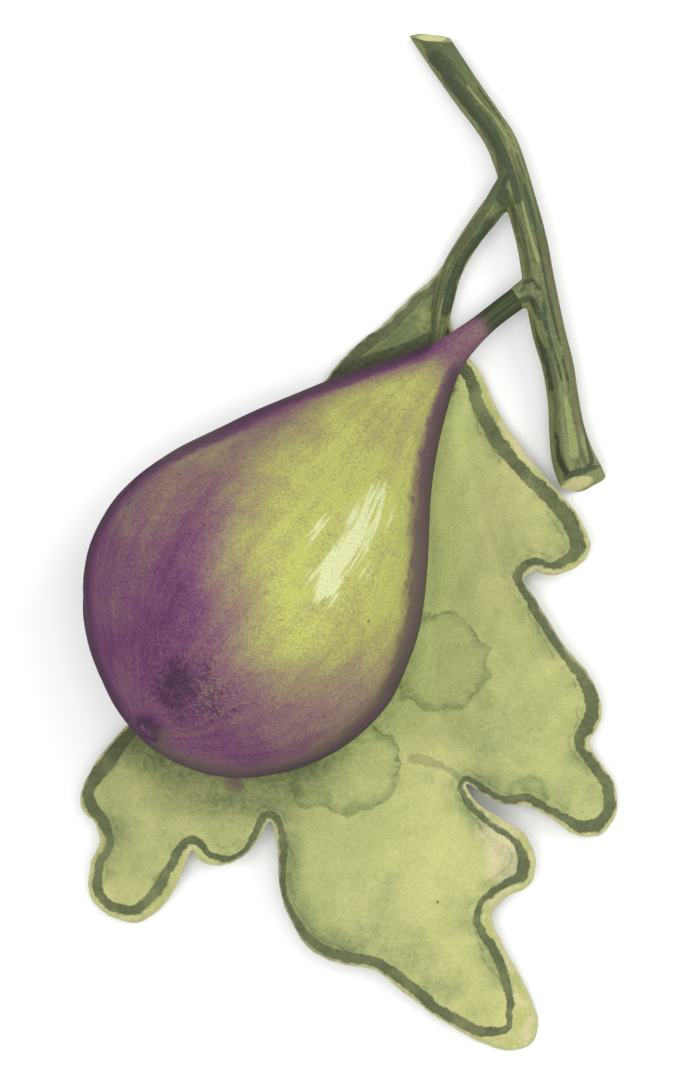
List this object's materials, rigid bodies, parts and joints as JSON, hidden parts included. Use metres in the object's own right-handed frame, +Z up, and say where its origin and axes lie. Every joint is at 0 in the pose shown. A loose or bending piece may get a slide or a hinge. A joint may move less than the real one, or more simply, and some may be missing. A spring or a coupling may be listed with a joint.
{
  "type": "fig",
  "caption": "Whole ripening fig with a tapering neck and stalk on a short cut twig, lying on its side on a lobed fig leaf.",
  "frame": {"origin": "on the table, at the middle of the flat spot of the leaf blade that carries the fruit", "axes": "+Z up from the table, +Y from the leaf's tip towards the twig's upper end, +X to the right across the leaf"},
  "size_m": [0.0754, 0.1431, 0.0488],
  "materials": {
    "fig_skin": "smooth ripe skin, purple turning to yellow-green, soft sheen",
    "leaf_blade": "matt pale green leaf with a darker green margin",
    "twig_bark": "young ridged green bark, matt"
  },
  "bodies": {
    "root": {"fig": "fig_skin", "leaf": "leaf_blade", "twig": "twig_bark"}
  },
  "joints": []
}
